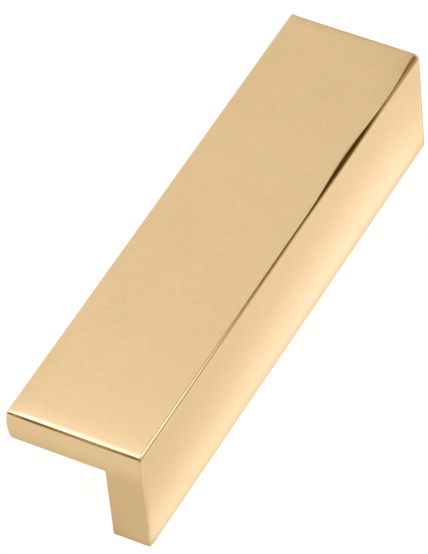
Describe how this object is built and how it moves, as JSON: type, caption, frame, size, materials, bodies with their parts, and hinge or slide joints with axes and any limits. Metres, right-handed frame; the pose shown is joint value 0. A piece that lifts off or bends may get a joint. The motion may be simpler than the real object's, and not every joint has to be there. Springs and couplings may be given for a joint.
{
  "type": "tab pull",
  "caption": "Thick polished brass tab pull of L section: a flat tab overhangs a leg whose foot is screwed to a drawer front from behind, and fingers hook under the tab.",
  "frame": {"origin": "centre of the foot, the face that meets the drawer front, midway between the screw holes", "axes": "+X along the pull, +Y the way the tab overhangs, +Z away from the drawer front"},
  "size_m": [0.1016, 0.0254, 0.0222],
  "materials": {
    "brass": "polished"
  },
  "bodies": {
    "root": {"tab_pull": "brass"}
  },
  "joints": []
}
